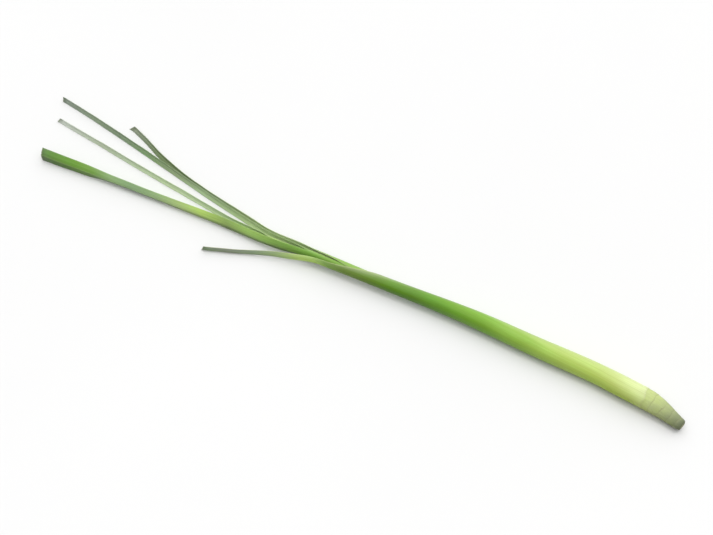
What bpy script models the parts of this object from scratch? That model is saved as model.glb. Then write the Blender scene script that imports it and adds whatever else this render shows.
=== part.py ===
"""Lemongrass stalk: a short woody stem base and six leaves rolled round each other.

Each leaf is one grown piece. Its lower part, the sheath, is rolled into a tube round the younger
leaves; past the collar it opens into a narrow strap blade with a trimmed end. The leaves alternate
between two sides of the stalk. The cut stalk lies on its side, +X towards the root end, +Z up.
Lengths in this file are millimetres until the mesh is made, in metres.
"""
import bmesh
import bpy
import numpy as np

MM = 0.001

# ---- driving dimensions (mm) -------------------------------------------------------------------
ROOT_END_X = 258.4        # where the stem base is cut off
END_ROUND = 2.0           # length over which the cut end's rim is worn round
END_DROP = 1.3            # how much smaller the flat of the cut end is than the stem there
FORK_X = -24.0            # where the first blades leave the stalk
GAP = 0.34                # clear space between neighbouring sheaths
HOLLOW_R = 0.40           # radius left free inside the youngest sheath
BLADE_T = 0.46            # blade thickness
SHEATH_COVER = 0.925      # part of the full turn that a closed sheath covers
LEAVES = 6

# the stalk's axis, seen from above, and its outer radius, both against X
AXIS_X = (264.0, 253.0, 242.0, 232.0, 212.0, 193.0, 173.0, 154.0, 134.0, 115.0, 96.0, 76.0, 57.0, 38.0, 19.0, 0.0, -20.0, -40.0, -60.0, -99.0, -147.0, -193.0, -248.0)
AXIS_Y = (-19.0, -15.6, -12.5, -10.4, -8.7, -7.1, -6.6, -6.5, -6.0, -5.3, -5.0, -5.3, -5.9, -6.6, -7.0, -7.3, -7.6, -8.2, -9.0, -9.6, -11.5, -14.0, -17.8)
RADIUS_X = (259.0, 256.0, 252.0, 247.0, 242.0, 237.0, 232.0, 227.0, 222.0, 212.0, 203.0, 193.0, 178.0, 164.0, 154.0, 144.0, 125.0, 108.0, 92.0, 76.0, 58.0, 38.0, 20.0, 0.0, -15.0, -30.0, -45.0)
RADIUS = (4.05, 4.35, 4.8, 5.5, 6.2, 6.9, 7.3, 7.4, 7.4, 7.4, 7.35, 7.2, 7.1, 7.0, 6.85, 6.7, 6.5, 6.25, 5.85, 5.4, 5.0, 4.7, 4.65, 4.85, 5.0, 5.0, 4.9)


# ---- curves --------------------------------------------------------------------------------------
def smooth_curve(xs, ys):
    """A monotone cubic through the points (xs, ys): no overshoot between them."""
    order = np.argsort(xs)
    x = np.asarray(xs, float)[order]
    y = np.asarray(ys, float)[order]
    h = np.diff(x)
    d = np.diff(y) / h
    m = np.zeros_like(y)
    for i in range(1, len(x) - 1):
        if d[i - 1] * d[i] > 0:
            w1, w2 = 2 * h[i] + h[i - 1], h[i] + 2 * h[i - 1]
            m[i] = (w1 + w2) / (w1 / d[i - 1] + w2 / d[i])
    m[0], m[-1] = d[0], d[-1]

    def f(q):
        q = min(max(q, x[0]), x[-1])
        i = int(min(max(np.searchsorted(x, q) - 1, 0), len(h) - 1))
        t = (q - x[i]) / h[i]
        return float((1 + 2 * t) * (1 - t) ** 2 * y[i] + t * (1 - t) ** 2 * h[i] * m[i]
                     + t * t * (3 - 2 * t) * y[i + 1] + t * t * (t - 1) * h[i] * m[i + 1])
    return f


def soft_curve(xs, ys, reach=9.0):
    """The same curve averaged over a short stretch, so that its bends are rounder."""
    f = smooth_curve(xs, ys)
    steps = np.linspace(-1.0, 1.0, 9)
    w = np.cos(steps * np.pi / 2) ** 2 + 1e-6
    w /= w.sum()
    return lambda q: float(sum(a * f(q + reach * b) for a, b in zip(w, steps)))


def ramp(x, start, end):
    """0 at start, 1 at end, smooth, for start above or below end."""
    t = min(max((x - start) / (end - start), 0.0), 1.0)
    return t * t * t * (10 - 15 * t + 6 * t * t)


axis_y = soft_curve(AXIS_X, AXIS_Y, 14.0)
outer_r = soft_curve(RADIUS_X, RADIUS, 5.0)


def axis_z(x):
    """The axis lies one radius above the table, and dips a little in the tapered root end."""
    return max(outer_r(x) + 0.05 * ramp(x, 222.0, 232.0), 7.3 - 2.4 * ramp(x, 222.0, 262.0))


def frame_at(x, fy, fz):
    """Unit vectors at x on a path: along (towards the tips), level across (-Y side), up."""
    e = 0.5
    t = np.array([-2 * e, fy(x - e) - fy(x + e), fz(x - e) - fz(x + e)])
    t /= np.linalg.norm(t)
    across = np.cross((0.0, 0.0, 1.0), t)
    across /= np.linalg.norm(across)
    return t, across, np.cross(t, across)


def wall(x):
    """Sheath wall thickness: the stack of leaves fills the stalk."""
    return (outer_r(x) - HOLLOW_R - (LEAVES - 1) * gap_at(x)) / LEAVES


def gap_at(x):
    return GAP + 0.05 * max(outer_r(x) - 4.6, 0.0)


def level_radius(level, x):
    """Middle radius of sheath number level, 1 the outermost."""
    w = wall(x)
    return outer_r(x) - w / 2 - (level - 1) * (w + gap_at(x))


def sheath_turn(x):
    """The whole stalk is grown with a slight twist: radians about its axis."""
    return -np.radians(45.0) * ramp(x, 40.0, 235.0)


def section(width, curl, fold, n):
    """Across a leaf: n+1 points (sideways, inwards) on an arc of the given curl with a fold at
    the midrib."""
    half = width / 2
    fine = 24
    out = []
    for k in range(n + 1):
        u = abs(-1 + 2 * k / n) * half
        s = np.linspace(0, u, fine)
        a = curl * s + fold * (1 - np.exp(-s / 0.8))
        c, d = np.cos(a), np.sin(a)
        step = u / (fine - 1)
        side = float((c[:-1] + c[1:]).sum() / 2 * step)
        inward = float((d[:-1] + d[1:]).sum() / 2 * step)
        out.append((np.sign(k - n / 2) * side, inward))
    return out


# ---- the leaves ----------------------------------------------------------------------------------
class Leaf:
    """One leaf from its foot on the stem base to its trimmed end."""

    def __init__(self, level, foot_x, open_x, collar_x, end_x, mid_y, widths, turn, fold, curl, n, clear=0.0):
        self.level, self.foot_x, self.collar_x, self.end_x = level, foot_x, collar_x, end_x
        self.side = -1 if level % 2 else 1
        self.open_x = open_x                    # where the sheath begins to open
        self.width = smooth_curve([p[0] for p in widths], [p[1] for p in widths])
        self.turn = smooth_curve([p[0] for p in turn], [np.radians(p[1]) for p in turn])
        self.fold, self.curl, self.n, self.clear = np.radians(fold), curl, n, clear
        # how far the blade's midrib has moved away from its place in the closed stalk
        xs = [collar_x + 40, collar_x] + [p[0] for p in mid_y]
        away = [0.0, 0.0] + [p[1] - self.stalk_y(p[0]) for p in mid_y]
        self.away = soft_curve(xs, away, 8.0)

    def stalk_y(self, x):
        return axis_y(x) + self.side * level_radius(self.level, x)

    def blade_y(self, x):
        return self.stalk_y(x) + self.away(x)

    def shape(self, x):
        """Width, curl and fold of the leaf's cross-section at x."""
        r = level_radius(self.level, x)
        full = 2 * np.pi * r * SHEATH_COVER
        opened = ramp(x, self.open_x, self.collar_x)
        flat = ramp(x, self.collar_x + 6, self.collar_x - 34)
        width = full + (self.width(x) - full) * opened
        curl = 1 / r + (self.curl - 1 / r) * flat
        return width, curl, self.fold * ramp(x, self.collar_x - 10, self.collar_x - 45)

    def mid(self, x):
        """The midrib's point and the section's outward and sideways directions at x."""
        t, across, up = frame_at(x, axis_y, axis_z)
        b = sheath_turn(x) + (np.pi if self.side > 0 else 0.0)
        n0 = np.cos(b) * across + np.sin(b) * up
        p0 = np.array([x, axis_y(x), axis_z(x)]) + n0 * level_radius(self.level, x)
        k = ramp(x, self.collar_x + 25, self.collar_x)
        if k <= 0:
            return p0, n0, np.cross(t, n0)
        t1, across1, up1 = frame_at(x, self.blade_y, lambda q: 0.0)
        b1 = b * (1 - k) + k * ((np.pi if self.side > 0 else 0.0) + self.turn(x))
        n1 = np.cos(b1) * across1 + np.sin(b1) * up1
        s1 = np.cross(t1, n1)
        low = min((s1 * q - n1 * v)[2] for q, v in section(*self.shape(x), self.n))
        down = ramp(x, self.collar_x + 5, self.collar_x - 60)
        z = axis_z(x) * (1 - down) + (self.clear_at(x) + BLADE_T / 2 - low) * down
        z = max(z, BLADE_T / 2 - low)
        p1 = np.array([x, self.blade_y(x), z])
        p = p0 * (1 - k) + p1 * k
        n = n0 * (1 - k) + n1 * k
        n /= np.linalg.norm(n)
        tt = t * (1 - k) + t1 * k
        tt -= n * np.dot(tt, n)
        tt /= np.linalg.norm(tt)
        return p, n, np.cross(tt, n)

    def clear_at(self, x):
        """Height kept under the blade: it comes down to the table at its end."""
        return self.clear * ramp(x, self.end_x, self.end_x + 60)

    def thickness(self, x):
        k = ramp(x, self.collar_x + 20, self.collar_x - 10)
        return wall(x) * (1 - k) + BLADE_T * k

    def stations(self):
        """X of each cross-section, closer together where the leaf opens and bends."""
        xs = [self.foot_x]
        while xs[-1] > self.end_x + 6:
            x = xs[-1]
            step = 24.0 if x > self.open_x + 24 else (9.0 if x > self.collar_x - 30 else 16.0)
            if self.foot_x - x < 34:
                step = 12.0
            xs.append(max(x - step, self.end_x))
        if xs[-1] > self.end_x:
            xs[-1] = self.end_x
        return xs

    def grid(self):
        """Points of the leaf's middle surface, rows along X, and the thickness of each row."""
        rows, th = [], []
        for x in self.stations():
            p, n, s = self.mid(x)
            rows.append([p + s * q - n * v for q, v in section(*self.shape(x), self.n)])
            th.append(self.thickness(x))
        return np.array(rows), th


class Nested(Leaf):
    """A leaf whose blade lies in the fold of an older leaf on the same side."""

    def __init__(self, host, *args, **kw):
        self.host = host
        super().__init__(*args, **kw)

    def mid(self, x):
        p, n, s = Leaf.mid(self, x)
        k = ramp(x, self.collar_x + 30, self.collar_x - 20)
        if k <= 0:
            return p, n, s
        hp, hn, hs = self.host.mid(max(x, self.host.end_x))
        q = hp - hn * (BLADE_T + GAP + 0.12)
        q = q * k + p * (1 - k)
        m = hn * k + n * (1 - k)
        m /= np.linalg.norm(m)
        t = np.cross(hn, hs) * k + np.cross(n, s) * (1 - k)
        t -= m * np.dot(t, m)
        t /= np.linalg.norm(t)
        return q, m, np.cross(t, m)


leaf_1 = Leaf(1, 228.0, 60.0, -20.0, -101.0,
              [(-42.0, -16.2), (-56.0, -19.6), (-80.0, -28.3), (-101.0, -35.8)],
              [(0.0, 9.5), (-20.0, 7.6), (-45.0, 5.4), (-60.0, 4.9), (-101.0, 4.4)],
              [(-20.0, 0.0), (-46.0, 18.0), (-75.0, 10.0), (-101.0, 5.0)], 14.0, 0.05, 14)
leaf_2 = Leaf(2, 222.0, 52.0, -24.0, -199.0,
              [(-50.0, -3.8), (-81.0, 1.2), (-112.0, 6.55), (-138.0, 12.0), (-166.0, 21.0), (-184.0, 29.1), (-199.0, 34.95)],
              [(0.0, 9.6), (-24.0, 7.4), (-50.0, 5.6), (-70.0, 5.0), (-120.0, 4.9), (-199.0, 4.2)],
              [(-24.0, 0.0), (-50.0, 20.0), (-80.0, 32.0), (-120.0, 36.0), (-199.0, 42.0)], 16.0, 0.05, 14)
leaf_3 = Leaf(3, 215.0, 44.0, -26.0, -245.5,
              [(-60.0, -12.4), (-99.0, -11.8), (-147.0, -13.6), (-193.0, -15.7), (-222.0, -17.4), (-246.0, -18.7)],
              [(10.0, 10.5), (-26.0, 9.8), (-90.0, 9.0), (-145.0, 8.4), (-185.0, 9.2), (-215.0, 10.4), (-246.0, 11.2)],
              [(-26.0, 0.0), (-60.0, 16.0), (-92.0, 25.0), (-125.0, 20.0), (-160.0, 12.0), (-185.0, 12.0), (-212.0, 30.0), (-246.0, 36.0)], 24.0, 0.05, 14)
leaf_4 = Leaf(4, 208.0, 36.0, -28.0, -259.0,
              [(-56.0, -5.2), (-80.0, -1.0), (-110.0, 4.6), (-138.0, 10.5), (-173.0, 18.0), (-214.0, 26.4), (-240.0, 31.4), (-259.0, 34.6)],
              [(10.0, 9.3), (-28.0, 6.8), (-60.0, 5.3), (-90.0, 4.8), (-180.0, 4.5), (-259.0, 3.8)],
              [(-28.0, 0.0), (-55.0, 20.0), (-85.0, 32.0), (-130.0, 36.0), (-259.0, 34.0)], 16.0, 0.05, 12)
leaf_5 = Nested(leaf_3, 5, 201.0, 30.0, -30.0, -243.5,
                [(-60.0, -11.4), (-147.0, -12.6), (-246.0, -17.7)],
                [(10.0, 7.4), (-30.0, 6.2), (-60.0, 6.2), (-90.0, 6.4), (-145.0, 6.2), (-185.0, 6.8), (-215.0, 7.8), (-244.0, 8.4)],
                [(-30.0, 0.0), (-92.0, 25.0), (-246.0, 36.0)], 24.0, 0.05, 10)
leaf_6 = Leaf(6, 195.0, 20.0, -46.0, -252.0,
              [(-66.0, -7.3), (-84.0, -5.9), (-102.0, -4.0), (-115.0, -2.2), (-150.0, 2.4), (-183.0, 6.8), (-217.0, 11.8), (-252.0, 16.8)],
              [(0.0, 5.2), (-46.0, 4.8), (-80.0, 4.3), (-150.0, 4.2), (-252.0, 3.6)],
              [(-46.0, 0.0), (-80.0, 22.0), (-120.0, 34.0), (-252.0, 36.0)], 14.0, 0.06, 8)


# ---- Blender objects -----------------------------------------------------------------------------
def clear_scene():
    for o in list(bpy.data.objects):
        bpy.data.objects.remove(o, do_unlink=True)


def material(name, colour, roughness):
    m = bpy.data.materials.new(name)
    m.use_nodes = True
    b = m.node_tree.nodes["Principled BSDF"]
    b.inputs["Base Color"].default_value = (*colour, 1.0)
    b.inputs["Roughness"].default_value = roughness
    b.inputs["Metallic"].default_value = 0.0
    return m


def add(collection, name, bm, mat):
    me = bpy.data.meshes.new(name)
    bm.to_mesh(me)
    bm.free()
    me.materials.append(mat)
    me.shade_smooth()
    me.set_sharp_from_angle(angle=np.radians(50))
    ob = bpy.data.objects.new(name, me)
    collection.objects.link(ob)
    return ob


def make_leaf(collection, name, leaf, mat):
    """An open sheet, made as a grid and placed row by row, thickened by Solidify."""
    pts, th = leaf.grid()
    rows, cols = pts.shape[:2]
    bm = bmesh.new()
    bmesh.ops.create_grid(bm, x_segments=cols - 1, y_segments=rows - 1, size=1.0)
    group = bm.verts.layers.deform.verify()
    most = max(th)
    for v in bm.verts:
        i = round((v.co.x + 1) / 2 * (cols - 1))
        j = round((v.co.y + 1) / 2 * (rows - 1))
        v.co = pts[j, i] * MM
        v[group][0] = th[j] / most
    ob = add(collection, name, bm, mat)
    ob.vertex_groups.new(name="thickness")
    mod = ob.modifiers.new("thickness", "SOLIDIFY")
    mod.thickness = most * MM
    mod.offset = 0.0
    mod.use_even_offset = True
    mod.vertex_group = "thickness"
    mod.thickness_vertex_group = 0.0
    return ob


def stem_radius(x):
    """The bare woody base, blunt at its cut end, then a cone stepped where each leaf's foot sits on it."""
    r = outer_r(x) - 0.10
    t = max(0.0, 1 - (ROOT_END_X - x) / END_ROUND)
    r -= END_DROP * (1 - np.sqrt(1 - t * t))
    for ring in (250.0, 243.0, 235.5):
        r += 0.16 * np.exp(-((x - ring) / 0.9) ** 2)
    for leaf in FEET:
        if x < leaf.foot_x + 1.2:
            r = min(r, level_radius(leaf.level, x) - wall(x) / 2 - gap_at(x) - 0.08)
    return r


FEET = (leaf_1, leaf_2, leaf_3, leaf_4, leaf_5, leaf_6)


def make_stem(collection, name, mat, around=20):
    """A loft of rings along the stalk's axis, closed at both ends."""
    xs = [ROOT_END_X, ROOT_END_X - 0.3, ROOT_END_X - 0.9, ROOT_END_X - 2.0, 254.0, 251.2, 250.0, 248.8, 244.2, 243.0, 241.8, 236.7, 235.5, 234.3]
    for leaf in FEET:
        xs += [leaf.foot_x + 1.5, leaf.foot_x + 0.9]
    xs.append(leaf_6.foot_x - 2.0)
    bm = bmesh.new()
    bmesh.ops.create_grid(bm, x_segments=around, y_segments=len(xs) - 1, size=1.0)
    for v in bm.verts:
        a = (v.co.x + 1) * np.pi
        j = round((v.co.y + 1) / 2 * (len(xs) - 1))
        x = xs[j]
        r = stem_radius(x)
        _, across, up = frame_at(x, axis_y, axis_z)
        p = np.array([x, axis_y(x), axis_z(x)]) + r * (np.cos(a) * across + np.sin(a) * up)
        v.co = p * MM
    bmesh.ops.remove_doubles(bm, verts=bm.verts, dist=1e-6)
    bmesh.ops.holes_fill(bm, edges=[e for e in bm.edges if e.is_boundary], sides=around + 2)
    bmesh.ops.recalc_face_normals(bm, faces=bm.faces)
    return add(collection, name, bm, mat)


def main():
    clear_scene()
    col = bpy.data.collections.new("lemongrass_stalk")
    bpy.context.scene.collection.children.link(col)
    make_stem(col, "stem_base", material("stem_base", (0.62, 0.62, 0.40), 0.6))
    looks = (
        ("leaf_1", leaf_1, (0.34, 0.46, 0.13)),
        ("leaf_2", leaf_2, (0.24, 0.34, 0.10)),
        ("leaf_3", leaf_3, (0.16, 0.32, 0.06)),
        ("leaf_4", leaf_4, (0.26, 0.38, 0.16)),
        ("leaf_5", leaf_5, (0.20, 0.38, 0.08)),
        ("leaf_6", leaf_6, (0.28, 0.38, 0.18)),
    )
    for name, leaf, colour in looks:
        make_leaf(col, name, leaf, material(name, colour, 0.5))


main()
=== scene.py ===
import math

import bmesh
import bpy
import numpy as np
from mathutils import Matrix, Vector, noise


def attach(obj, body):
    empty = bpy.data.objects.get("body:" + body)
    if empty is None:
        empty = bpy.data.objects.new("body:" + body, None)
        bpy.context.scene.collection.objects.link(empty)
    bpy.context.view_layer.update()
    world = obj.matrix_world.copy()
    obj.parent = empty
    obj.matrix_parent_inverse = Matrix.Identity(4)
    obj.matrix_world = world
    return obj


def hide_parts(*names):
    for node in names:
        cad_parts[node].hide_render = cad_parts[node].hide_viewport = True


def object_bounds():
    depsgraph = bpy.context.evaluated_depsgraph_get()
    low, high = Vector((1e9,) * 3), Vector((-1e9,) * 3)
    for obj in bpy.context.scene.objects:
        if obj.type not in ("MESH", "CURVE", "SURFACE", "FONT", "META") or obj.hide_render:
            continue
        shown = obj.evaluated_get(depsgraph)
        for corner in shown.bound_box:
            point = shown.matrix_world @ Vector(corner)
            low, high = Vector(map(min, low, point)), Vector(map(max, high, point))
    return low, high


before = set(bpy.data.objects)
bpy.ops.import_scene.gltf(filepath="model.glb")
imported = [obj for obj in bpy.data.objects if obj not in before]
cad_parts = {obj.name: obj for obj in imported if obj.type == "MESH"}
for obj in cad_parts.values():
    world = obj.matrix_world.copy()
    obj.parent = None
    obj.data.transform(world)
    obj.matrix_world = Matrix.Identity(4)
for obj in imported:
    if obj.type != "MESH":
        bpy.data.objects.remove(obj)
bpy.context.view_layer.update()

MM = 0.001

# ================================================================================================
# The stalk's construction, in millimetres, as the frame holds it
# ================================================================================================
ROOT_END_X = 258.4
GAP = 0.34
HOLLOW_R = 0.40
BLADE_T = 0.46
LEAVES = 6
AXIS_X = (264.0, 253.0, 242.0, 232.0, 212.0, 193.0, 173.0, 154.0, 134.0, 115.0, 96.0, 76.0, 57.0, 38.0, 19.0, 0.0, -20.0, -40.0, -60.0, -99.0, -147.0, -193.0, -248.0)
AXIS_Y = (-19.0, -15.6, -12.5, -10.4, -8.7, -7.1, -6.6, -6.5, -6.0, -5.3, -5.0, -5.3, -5.9, -6.6, -7.0, -7.3, -7.6, -8.2, -9.0, -9.6, -11.5, -14.0, -17.8)
RADIUS_X = (259.0, 256.0, 252.0, 247.0, 242.0, 237.0, 232.0, 227.0, 222.0, 212.0, 203.0, 193.0, 178.0, 164.0, 154.0, 144.0, 125.0, 108.0, 92.0, 76.0, 58.0, 38.0, 20.0, 0.0, -15.0, -30.0, -45.0)
RADIUS = (4.05, 4.35, 4.8, 5.5, 6.2, 6.9, 7.3, 7.4, 7.4, 7.4, 7.35, 7.2, 7.1, 7.0, 6.85, 6.7, 6.5, 6.25, 5.85, 5.4, 5.0, 4.7, 4.65, 4.85, 5.0, 5.0, 4.9)


def smooth_curve(xs, ys):
    order = np.argsort(xs)
    x = np.asarray(xs, float)[order]
    y = np.asarray(ys, float)[order]
    h = np.diff(x)
    d = np.diff(y) / h
    m = np.zeros_like(y)
    for i in range(1, len(x) - 1):
        if d[i - 1] * d[i] > 0:
            w1, w2 = 2 * h[i] + h[i - 1], h[i] + 2 * h[i - 1]
            m[i] = (w1 + w2) / (w1 / d[i - 1] + w2 / d[i])
    m[0], m[-1] = d[0], d[-1]

    def f(q):
        q = min(max(q, x[0]), x[-1])
        i = int(min(max(np.searchsorted(x, q) - 1, 0), len(h) - 1))
        t = (q - x[i]) / h[i]
        return float((1 + 2 * t) * (1 - t) ** 2 * y[i] + t * (1 - t) ** 2 * h[i] * m[i]
                     + t * t * (3 - 2 * t) * y[i + 1] + t * t * (t - 1) * h[i] * m[i + 1])
    return f


def soft_curve(xs, ys, reach=9.0):
    f = smooth_curve(xs, ys)
    steps = np.linspace(-1.0, 1.0, 9)
    w = np.cos(steps * np.pi / 2) ** 2 + 1e-6
    w /= w.sum()
    table = np.array([sum(a * f(q + reach * b) for a, b in zip(w, steps)) for q in np.arange(-300.0, 300.0, 1.0)])
    return lambda q: float(np.interp(q, np.arange(-300.0, 300.0, 1.0), table))


def ramp(x, start, end):
    t = np.clip((x - start) / (end - start), 0.0, 1.0)
    return t * t * t * (10 - 15 * t + 6 * t * t)


def cyclic_noise(x, y, z, seed):
    return noise.noise(Vector((x, y, z + 13.7 * seed)))


axis_y = soft_curve(AXIS_X, AXIS_Y, 14.0)
outer_r = soft_curve(RADIUS_X, RADIUS, 5.0)


def axis_z(x):
    return max(outer_r(x) + 0.05 * float(ramp(x, 222.0, 232.0)), 7.3 - 2.4 * float(ramp(x, 222.0, 262.0)))


def frame_at(x, fy, fz):
    e = 0.5
    t = np.array([-2 * e, fy(x - e) - fy(x + e), fz(x - e) - fz(x + e)])
    t /= np.linalg.norm(t)
    across = np.cross((0.0, 0.0, 1.0), t)
    across /= np.linalg.norm(across)
    return t, across, np.cross(t, across)


def gap_at(x):
    return GAP + 0.05 * max(outer_r(x) - 4.6, 0.0)


def wall(x):
    return (outer_r(x) - HOLLOW_R - (LEAVES - 1) * gap_at(x)) / LEAVES


def level_radius(level, x):
    w = wall(x)
    return outer_r(x) - w / 2 - (level - 1) * (w + gap_at(x))


def sheath_turn(x):
    return -math.radians(45.0) * float(ramp(x, 40.0, 235.0))


def section(half, curl, fold, us):
    """Across a leaf: for signed distances us from the midrib, (sideways, inwards) and the angle the
    sheet has turned by."""
    s = np.linspace(0, half * 1.02, 220)
    a = curl * s + fold * (1 - np.exp(-s / 0.8))
    ds = s[1]
    c, d = np.cos(a), np.sin(a)
    side = np.concatenate([[0], np.cumsum((c[:-1] + c[1:]) / 2 * ds)])
    inward = np.concatenate([[0], np.cumsum((d[:-1] + d[1:]) / 2 * ds)])
    u = np.abs(us)
    return np.sign(us) * np.interp(u, s, side), np.interp(u, s, inward), np.interp(u, s, a)


class Leaf:
    def __init__(self, level, foot_x, open_x, collar_x, end_x, mid_y, widths, turn, fold, curl, clear=0.0, wobble=1.0):
        self.level, self.foot_x, self.collar_x, self.end_x = level, foot_x, collar_x, end_x
        self.side = -1 if level % 2 else 1
        self.open_x = open_x
        self.width = smooth_curve([p[0] for p in widths], [p[1] for p in widths])
        self.turn = smooth_curve([p[0] for p in turn], [np.radians(p[1]) for p in turn])
        self.fold, self.curl, self.clear, self.wobble = np.radians(fold), curl, clear, wobble
        xs = [collar_x + 40, collar_x] + [p[0] for p in mid_y]
        away = [0.0, 0.0] + [p[1] - self.stalk_y(p[0]) for p in mid_y]
        self.away = soft_curve(xs, away, 8.0)

    def stalk_y(self, x):
        return axis_y(x) + self.side * level_radius(self.level, x)

    def blade_y(self, x):
        return self.stalk_y(x) + self.away(x)

    def shape(self, x):
        """Width, curl and fold at x; the closed sheath's margins lap over each other."""
        r = level_radius(self.level, x)
        full = 2 * np.pi * r * 1.10
        opened = float(ramp(x, self.open_x, self.collar_x))
        flat = float(ramp(x, self.collar_x + 6, self.collar_x - 34))
        width = full + (self.width(x) - full) * opened
        curl = 1 / r + (self.curl - 1 / r) * flat
        fold = self.fold * float(ramp(x, self.collar_x - 10, self.collar_x - 45))
        fold *= 1 + 0.25 * cyclic_noise(x * 0.02, 3.1, 0.0, self.level) * self.wobble
        return width, curl, fold

    def mid(self, x):
        t, across, up = frame_at(x, axis_y, axis_z)
        b = sheath_turn(x) + (np.pi if self.side > 0 else 0.0)
        n0 = np.cos(b) * across + np.sin(b) * up
        p0 = np.array([x, axis_y(x), axis_z(x)]) + n0 * level_radius(self.level, x)
        k = float(ramp(x, self.collar_x + 25, self.collar_x))
        if k <= 0:
            return p0, n0, np.cross(t, n0)
        t1, across1, up1 = frame_at(x, self.blade_y, lambda q: 0.0)
        b1 = b * (1 - k) + k * ((np.pi if self.side > 0 else 0.0) + self.turn(x))
        n1 = np.cos(b1) * across1 + np.sin(b1) * up1
        s1 = np.cross(t1, n1)
        width, curl, fold = self.shape(x)
        us = np.linspace(-width / 2, width / 2, 15)
        q, v, _ = section(width / 2, curl, fold, us)
        low = float((s1[2] * q - n1[2] * v).min())
        down = float(ramp(x, self.collar_x + 5, self.collar_x - 60))
        lift = self.clear * float(ramp(x, self.end_x, self.end_x + 60))
        z = axis_z(x) * (1 - down) + (lift + BLADE_T / 2 - low) * down
        z = max(z, BLADE_T / 2 - low)
        p1 = np.array([x, self.blade_y(x), z])
        p = p0 * (1 - k) + p1 * k
        n = n0 * (1 - k) + n1 * k
        n /= np.linalg.norm(n)
        tt = t * (1 - k) + t1 * k
        tt -= n * np.dot(tt, n)
        tt /= np.linalg.norm(tt)
        return p, n, np.cross(tt, n)


class Nested(Leaf):
    """A leaf whose blade lies in the fold of an older one."""

    def __init__(self, host, *args, **kw):
        self.host = host
        super().__init__(*args, **kw)

    def mid(self, x):
        p, n, s = Leaf.mid(self, x)
        k = float(ramp(x, self.collar_x + 30, self.collar_x - 20))
        if k <= 0:
            return p, n, s
        hp, hn, hs = self.host.mid(max(x, self.host.end_x))
        q = (hp - hn * (BLADE_T + GAP + 0.12)) * k + p * (1 - k)
        m = hn * k + n * (1 - k)
        m /= np.linalg.norm(m)
        t = np.cross(hn, hs) * k + np.cross(n, s) * (1 - k)
        t -= m * np.dot(t, m)
        t /= np.linalg.norm(t)
        return q, m, np.cross(t, m)


L1 = Leaf(1, 228.0, 60.0, -20.0, -101.0,
          [(-42.0, -16.2), (-56.0, -19.6), (-80.0, -28.3), (-101.0, -35.8)],
          [(0.0, 9.5), (-20.0, 7.6), (-45.0, 5.4), (-60.0, 4.9), (-101.0, 4.4)],
          [(-20.0, 0.0), (-46.0, 18.0), (-75.0, 10.0), (-101.0, 5.0)], 14.0, 0.05)
L2 = Leaf(2, 222.0, 52.0, -24.0, -199.0,
          [(-50.0, -3.8), (-81.0, 1.2), (-112.0, 6.55), (-138.0, 12.0), (-166.0, 21.0), (-184.0, 29.1), (-199.0, 34.95)],
          [(0.0, 9.6), (-24.0, 7.4), (-50.0, 5.6), (-70.0, 5.0), (-120.0, 4.9), (-199.0, 4.2)],
          [(-24.0, 0.0), (-50.0, 20.0), (-80.0, 32.0), (-120.0, 36.0), (-199.0, 42.0)], 16.0, 0.05)
L3 = Leaf(3, 215.0, 44.0, -26.0, -245.5,
          [(-60.0, -12.4), (-99.0, -11.8), (-147.0, -13.6), (-193.0, -15.7), (-222.0, -17.4), (-246.0, -18.7)],
          [(10.0, 10.5), (-26.0, 9.8), (-90.0, 9.0), (-145.0, 8.4), (-185.0, 9.2), (-215.0, 10.4), (-246.0, 11.2)],
          [(-26.0, 0.0), (-60.0, 16.0), (-92.0, 25.0), (-125.0, 20.0), (-160.0, 12.0), (-185.0, 12.0), (-212.0, 30.0), (-246.0, 36.0)], 24.0, 0.05)
L4 = Leaf(4, 208.0, 36.0, -28.0, -259.0,
          [(-56.0, -5.2), (-80.0, -1.0), (-110.0, 4.6), (-138.0, 10.5), (-173.0, 18.0), (-214.0, 26.4), (-240.0, 31.4), (-259.0, 34.6)],
          [(10.0, 9.3), (-28.0, 6.8), (-60.0, 5.3), (-90.0, 4.8), (-180.0, 4.5), (-259.0, 3.8)],
          [(-28.0, 0.0), (-55.0, 20.0), (-85.0, 32.0), (-130.0, 36.0), (-259.0, 34.0)], 16.0, 0.05)
L5 = Nested(L3, 5, 201.0, 30.0, -30.0, -243.5,
            [(-60.0, -11.4), (-147.0, -12.6), (-246.0, -17.7)],
            [(10.0, 7.4), (-30.0, 6.2), (-60.0, 6.2), (-90.0, 6.4), (-145.0, 6.2), (-185.0, 6.8), (-215.0, 7.8), (-244.0, 8.4)],
            [(-30.0, 0.0), (-92.0, 25.0), (-246.0, 36.0)], 24.0, 0.05)
L6 = Leaf(6, 195.0, 20.0, -46.0, -252.0,
          [(-66.0, -7.3), (-84.0, -5.9), (-102.0, -4.0), (-115.0, -2.2), (-150.0, 2.4), (-183.0, 6.8), (-217.0, 11.8), (-252.0, 16.8)],
          [(0.0, 5.2), (-46.0, 4.8), (-80.0, 4.3), (-150.0, 4.2), (-252.0, 3.6)],
          [(-46.0, 0.0), (-80.0, 22.0), (-120.0, 34.0), (-252.0, 36.0)], 14.0, 0.06)


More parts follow.
